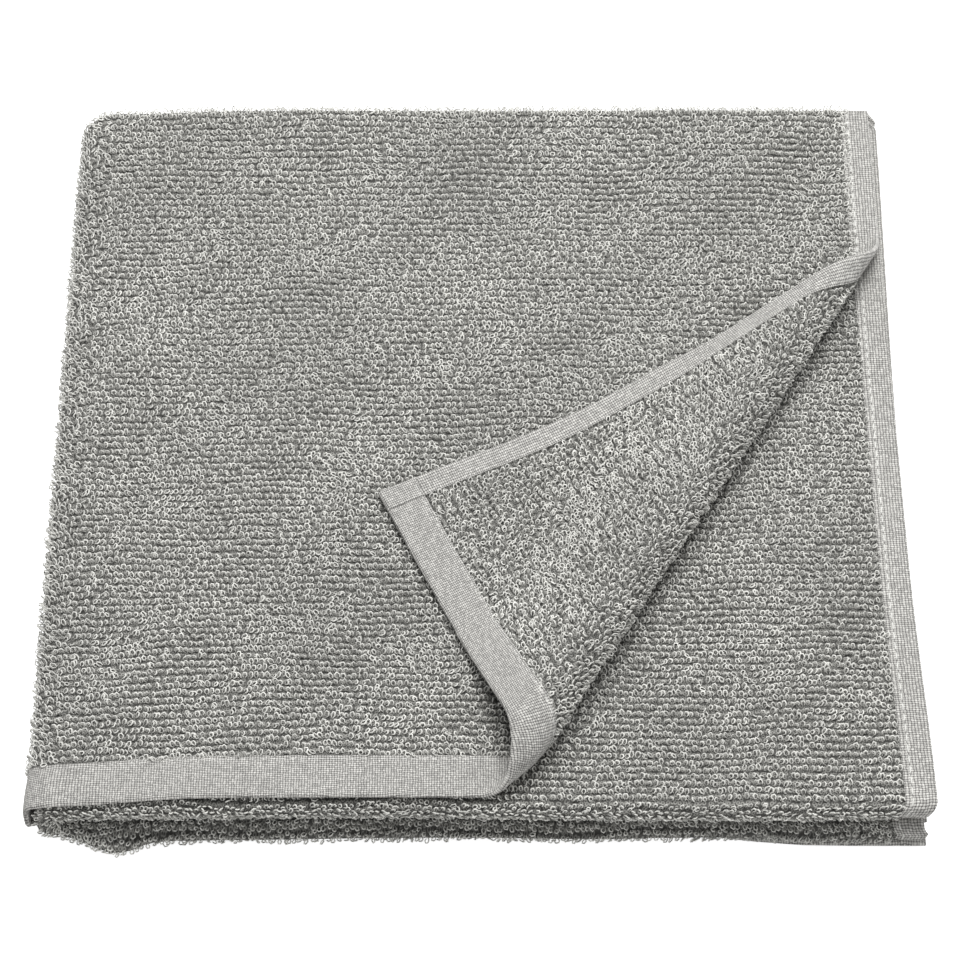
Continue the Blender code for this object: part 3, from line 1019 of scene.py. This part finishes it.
class TowelSizes(bpy.types.PropertyGroup):
    loop_pitch: FloatProperty(
        name="Loop pitch", description="From one loop to the next along a row",
        default=0.00156, unit="LENGTH",
    )
    row_pitch: FloatProperty(
        name="Row pitch", description="From one row of loops to the next",
        default=0.00222, unit="LENGTH",
    )
    loop_scale: FloatProperty(
        name="Loop size", description="Size of the loops, 1 for the usual one",
        default=1.0, subtype="FACTOR",
    )
    yarn_radius: FloatProperty(
        name="Yarn radius", description="Radius of the pile yarn", default=0.00023, unit="LENGTH"
    )
    stitch_length: FloatProperty(
        name="Stitch length", description="Length of a stitch in the hems",
        default=0.0030, unit="LENGTH",
    )
    thread_radius: FloatProperty(
        name="Thread radius", description="Radius of the sewing thread", default=0.00017, unit="LENGTH"
    )


class TowelColours(bpy.types.PropertyGroup):
    yarn: FloatVectorProperty(
        name="Pile yarn", description="Colour of the loops",
        size=3, subtype="COLOR", default=(0.69, 0.686, 0.650),
    )
    # Far darker than the yarn: painted shade among the loops, put into the ground's colour.
    ground: FloatVectorProperty(
        name="Ground", description="Colour of the cloth under the loops",
        size=3, subtype="COLOR", default=(0.225, 0.223, 0.209),
    )
    hem: FloatVectorProperty(
        name="Hem", description="Colour of the woven hems",
        size=3, subtype="COLOR", default=(0.345, 0.339, 0.323),
    )
    side_thread: FloatVectorProperty(
        name="Side thread", description="Colour of the side hems' thread",
        size=3, subtype="COLOR", default=(0.72, 0.72, 0.69),
    )
    end_thread: FloatVectorProperty(
        name="End thread", description="Colour of the end hems' thread",
        size=3, subtype="COLOR", default=(0.42, 0.413, 0.395),
    )


class TowelStudio(bpy.types.PropertyGroup):
    elevation: FloatProperty(
        name="Elevation", description="Height angle of the camera",
        default=math.radians(54.5), subtype="ANGLE",
    )
    distance: FloatProperty(
        name="Distance", description="From the camera to the towel", default=0.970, unit="LENGTH"
    )
    lens: FloatProperty(
        name="Lens", description="Focal length in millimetres", default=124.3, unit="CAMERA"
    )
    key_power: FloatProperty(
        name="Key light", description="Power of the light above", default=31.0, unit="POWER"
    )
    fill: FloatProperty(
        name="Surroundings", description="Strength of the light from all round", default=0.53
    )


# ---- operators

class TOWEL_OT_cloth(bpy.types.Operator):
    """Folds the hemmed terry panel"""

    bl_idname = "towel.fold_cloth"
    bl_label = "Fold the cloth"

    def execute(self, context):
        colours = context.scene.towel_colours
        piece, slots = build_cloth()
        piece.data.materials.append(shared_material("terry_ground_painted_shade", colours.ground))
        piece.data.materials.append(shared_material("hem_weave", colours.hem))
        piece.data.polygons.foreach_set("material_index", slots)
        dress(piece)
        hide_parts(NODE)
        return {"FINISHED"}


class TOWEL_OT_pile(bpy.types.Operator):
    """Raises the terry loops on the faces that show"""

    bl_idname = "towel.raise_pile"
    bl_label = "Raise the pile"

    def execute(self, context):
        material = shared_material("pile_yarn", context.scene.towel_colours.yarn)
        for name, face, style, area, keep in pile_areas():
            build_pile(name, area, face, style, context.scene.towel_sizes, material, keep)
        return {"FINISHED"}


class TOWEL_OT_sewing(bpy.types.Operator):
    """Sews the side hems and the end hems"""

    bl_idname = "towel.sew_hems"
    bl_label = "Sew the hems"

    def execute(self, context):
        size, colours = context.scene.towel_sizes, context.scene.towel_colours
        thread, length = size.thread_radius, size.stitch_length
        inset = SIDE_HEM - SIDE_SEAM_INSET
        side = []
        for across in (inset, TOWEL_WIDTH - inset):
            ends = (across, SIDE_SEAM_END), (across, TOWEL_LENGTH - SIDE_SEAM_END)
            side.append((*ends, 1, length, length * 0.12, thread * 1.2, SIDE_SEAM_LIFT))
        build_stitches("side_hem_stitches", side, colours.side_thread)
        inset = END_HEM - END_SEAM_INSET
        end = []
        for along in (inset, TOWEL_LENGTH - inset):
            for face in (1, -1):
                ends = (END_SEAM_END, along), (TOWEL_WIDTH - END_SEAM_END, along)
                end.append((*ends, face, length * 0.8, length * 0.15, thread * 0.8, END_SEAM_LIFT))
        build_stitches("end_hem_stitches", end, colours.end_thread)
        return {"FINISHED"}


class TOWEL_OT_declare(bpy.types.Operator):
    """Does nothing but finish."""

    bl_idname = "towel.declare_sheet"
    bl_label = "Declare the sheet"

    def execute(self, context):
        return {"FINISHED"}


FLOOR_HALF = 3.0
FLOOR_GREY = (0.86, 0.86, 0.86)
FLOOR_GLOW = 0.8  # light of its own, for the camera only
KEY_PLACE, KEY_SIZE = (0.12, 0.42, 1.6), (1.0, 0.8)
CAMERA_TARGET = (0.00045, -0.0174, 0.0225)


def floor_material():
    material, tree, shader = new_material("pale_floor", 0.9, 0.0)
    place = add_node(tree, "ShaderNodeTexCoord")
    grain = add_node(tree, "ShaderNodeTexNoise", {"Scale": 40.0, "Detail": 2.0})
    tree.links.new(place.outputs["Object"], grain.inputs["Vector"])
    tone = maths(tree, "MULTIPLY_ADD", grain.outputs["Fac"], 0.01, 0.995)
    paint(tree, shader, FLOOR_GREY, tone)
    seen = add_node(tree, "ShaderNodeLightPath")
    tree.links.new(seen.outputs["Is Camera Ray"], shader.inputs["Emission Color"])
    shader.inputs["Emission Strength"].default_value = FLOOR_GLOW
    return material


def add_floor():
    half = FLOOR_HALF
    corners = [(-half, -half, 0), (half, -half, 0), (half, half, 0), (-half, half, 0)]
    floor = make_piece("floor", corners, [(0, 1, 2, 3)], (floor_material(),), smooth=False)


def add_lamp(name, place, target, size, power):
    lamp = bpy.data.lights.new(name, "AREA")
    lamp.shape = "RECTANGLE"
    lamp.size, lamp.size_y = size
    lamp.energy = power
    holder = bpy.data.objects.new(name, lamp)
    holder.location = place
    holder.rotation_euler = (Vector(target) - Vector(place)).to_track_quat("-Z", "Y").to_euler()
    bpy.context.scene.collection.objects.link(holder)


def add_camera(studio):
    target = Vector(CAMERA_TARGET)
    away = Vector((0, -math.cos(studio.elevation), math.sin(studio.elevation)))
    data = bpy.data.cameras.new("camera")
    data.lens = studio.lens
    camera = bpy.data.objects.new("camera", data)
    camera.location = target + away * studio.distance
    camera.rotation_euler = (-away).to_track_quat("-Z", "Y").to_euler()
    bpy.context.scene.collection.objects.link(camera)
    bpy.context.scene.camera = camera


class TOWEL_OT_stage(bpy.types.Operator):
    """Adds the pale floor, the soft studio light and the camera"""

    bl_idname = "towel.set_stage"
    bl_label = "Set the stage"

    def execute(self, context):
        studio = context.scene.towel_studio
        add_floor()
        add_lamp("key_light", KEY_PLACE, (0, 0, 0), KEY_SIZE, studio.key_power)
        world = bpy.data.worlds.new("soft_room")
        world.use_nodes = True
        background = world.node_tree.nodes["Background"]
        background.inputs["Color"].default_value = (1.0, 1.0, 1.0, 1.0)
        background.inputs["Strength"].default_value = studio.fill
        context.scene.world = world
        context.scene.view_settings.view_transform = "Standard"
        add_camera(studio)
        return {"FINISHED"}


OPERATORS = (TOWEL_OT_cloth, TOWEL_OT_pile, TOWEL_OT_sewing, TOWEL_OT_declare, TOWEL_OT_stage)


class TOWEL_PT_panel(bpy.types.Panel):
    bl_idname = "TOWEL_PT_panel"
    bl_label = "Folded hand towel"
    bl_space_type = "VIEW_3D"
    bl_region_type = "UI"
    bl_category = "Towel"

    def draw(self, context):
        for operator in OPERATORS:
            self.layout.operator(operator.bl_idname)
        for group in (context.scene.towel_sizes, context.scene.towel_colours, context.scene.towel_studio):
            box = self.layout.box()
            for name in group.bl_rna.properties.keys():
                if name not in ("rna_type", "name"):
                    box.prop(group, name)


GROUPS = {"towel_sizes": TowelSizes, "towel_colours": TowelColours, "towel_studio": TowelStudio}
CLASSES = (*GROUPS.values(), *OPERATORS, TOWEL_PT_panel)


def register():
    for item in CLASSES:
        bpy.utils.register_class(item)
    for name, group in GROUPS.items():
        setattr(bpy.types.Scene, name, PointerProperty(type=group))


def unregister():
    for name in GROUPS:
        delattr(bpy.types.Scene, name)
    for item in reversed(CLASSES):
        bpy.utils.unregister_class(item)


def main():
    register()
    bpy.ops.towel.fold_cloth()
    bpy.ops.towel.raise_pile()
    bpy.ops.towel.sew_hems()
    bpy.ops.towel.declare_sheet()
    bpy.ops.towel.set_stage()


if __name__ == "__main__":
    main()
